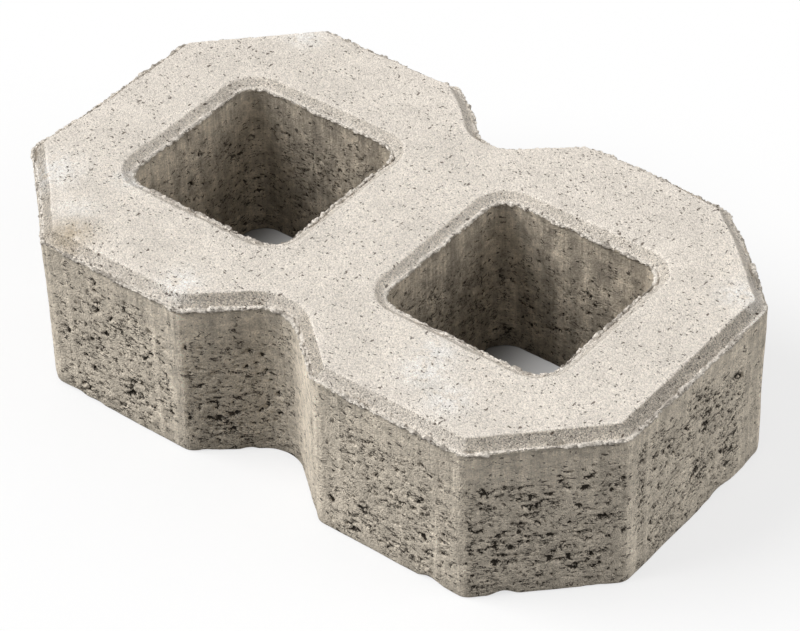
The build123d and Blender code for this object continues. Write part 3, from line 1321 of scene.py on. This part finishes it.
# %% [markdown]
# ## Floor
# The block lies on a white sweep, which stays white to the camera and keeps the block's soft shadow. A
# white floor would throw much light back up under the walls, so it is white only to the camera and to
# reflections, and grey to the light that falls on the concrete. A part of the white is glow, which is held
# back under the cells, most of all along their left walls, where the floor lies in deep shade.

# %% Floor
FLOOR_HALF = 4.0
FLOOR_SIGNS = [(-1, -1), (1, -1), (1, 1), (-1, 1)]

floor_mesh = bpy.data.meshes.new("floor")
floor_points = [(FLOOR_HALF * x, FLOOR_HALF * y, 0) for x, y in FLOOR_SIGNS]
floor_mesh.from_pydata(floor_points, [], [(0, 1, 2, 3)])
floor = bpy.data.objects.new("floor", floor_mesh)
bpy.context.scene.collection.objects.link(floor)
print("floor", 2 * FLOOR_HALF, "m square")

# %% Paint of the floor
FLOOR_WHITE = (0.95, 0.95, 0.95, 1)
FLOOR_SHADE = (0.34, 0.335, 0.33, 1)
FLOOR_TO_LIGHT = (0.16, 0.155, 0.15, 1)
FLOOR_GLOW = 0.70
CELL_FLOOR_GLOW = 0.26


def seen_directly(tree):
    """1 for rays from the camera, from a reflection or through glass, and 0 for light that goes elsewhere."""
    ray = node(tree, "LightPath")
    seen = larger(tree, ray.outputs["Is Camera Ray"], ray.outputs["Is Glossy Ray"])
    return larger(tree, seen, ray.outputs["Is Transmission Ray"])


floor_paint = bpy.data.materials.new("floor_paint")
floor_paint.use_nodes = True
tree = floor_paint.node_tree
shader = tree.nodes["Principled BSDF"]
shader.inputs["Roughness"].default_value = 1.0
shader.inputs["Specular IOR Level"].default_value = 0.0
spot = node(tree, "SeparateXYZ", {0: node(tree, "TexCoord").outputs["Object"]})
beyond_x = ramp(tree, maths(tree, "ABSOLUTE", spot.outputs["X"]), 0.11, 0.14)
beyond_y = ramp(tree, maths(tree, "ABSOLUTE", spot.outputs["Y"]), 0.045, 0.065)
outside = larger(tree, beyond_x, beyond_y)
# Painted light and shade on the floor under the cells: its white and its glow rise from each cell's left wall
# towards its middle.
across_cell = maths(tree, "FRACT", line(tree, spot.outputs["X"], 1 / CELL_SPACING, 1.0))
cell_light = ramp(tree, across_cell, 0.19, 0.45)
seen = seen_directly(tree)
white = blend(tree, larger(tree, outside, cell_light), FLOOR_SHADE, FLOOR_WHITE)
tree.links.new(blend(tree, seen, FLOOR_TO_LIGHT, white), shader.inputs["Base Color"])
glow = node(tree, "Emission", {"Color": (1, 1, 1, 1), "Strength": 1.0})
cell_glow = times(tree, cell_light, CELL_FLOOR_GLOW)
glow_share = line(tree, outside, maths(tree, "SUBTRACT", FLOOR_GLOW, cell_glow), cell_glow)
glow_share = times(tree, seen, glow_share)
lit = node(tree, "MixShader", {0: glow_share, 1: shader.outputs[0], 2: glow.outputs[0]})
tree.links.new(lit.outputs[0], tree.nodes["Material Output"].inputs["Surface"])
floor_mesh.materials.append(floor_paint)
print(len(tree.nodes), "nodes in the floor's paint")

# %% [markdown]
# ## Light
# A large soft key light from the near left side lights the long near walls and leaves the corner cuts in
# half shade. A weaker fill from the far right keeps the shade open, and a sky that is brighter overhead
# lights the wearing face. Area lamps would fall off with distance, so suns with a wide angle stand for
# softboxes.

# %% World
SKY_BELOW = 0.12
SKY_OVERHEAD = 0.45

world = bpy.data.worlds.new("studio")
bpy.context.scene.world = world
world.use_nodes = True
tree = world.node_tree
background = tree.nodes["Background"]
background.inputs["Color"].default_value = (1, 1, 1, 1)
upness = node(tree, "SeparateXYZ", {0: node(tree, "TexCoord").outputs["Generated"]}).outputs["Z"]
sky = ramp(tree, upness, -0.1, 0.9, SKY_BELOW, SKY_OVERHEAD)
strength = node(tree, "Mix", {"Factor": seen_directly(tree), "A": sky, "B": 1.0}, data_type="FLOAT")
tree.links.new(strength.outputs["Result"], background.inputs["Strength"])
print("sky from", SKY_BELOW, "to", SKY_OVERHEAD)


# %% Lamps
def soft_sun(name, azimuth_deg, elevation_deg, spread_deg, strength):
    """Light from one direction with soft shadows, as from a large softbox far away."""
    data = bpy.data.lights.new(name, "SUN")
    data.angle = math.radians(spread_deg)
    data.energy = strength
    lamp = bpy.data.objects.new(name, data)
    azimuth = math.radians(azimuth_deg)
    elevation = math.radians(elevation_deg)
    level = math.cos(elevation)
    toward = Vector((level * math.cos(azimuth), level * math.sin(azimuth), math.sin(elevation)))
    lamp.rotation_euler = toward.to_track_quat("Z", "Y").to_euler()
    bpy.context.scene.collection.objects.link(lamp)
    print(name, "sun of strength", strength)


soft_sun("key", azimuth_deg=216, elevation_deg=41, spread_deg=46, strength=2.72)
soft_sun("fill", azimuth_deg=28, elevation_deg=14, spread_deg=50, strength=1.25)
bpy.context.scene.view_settings.view_transform = "Standard"
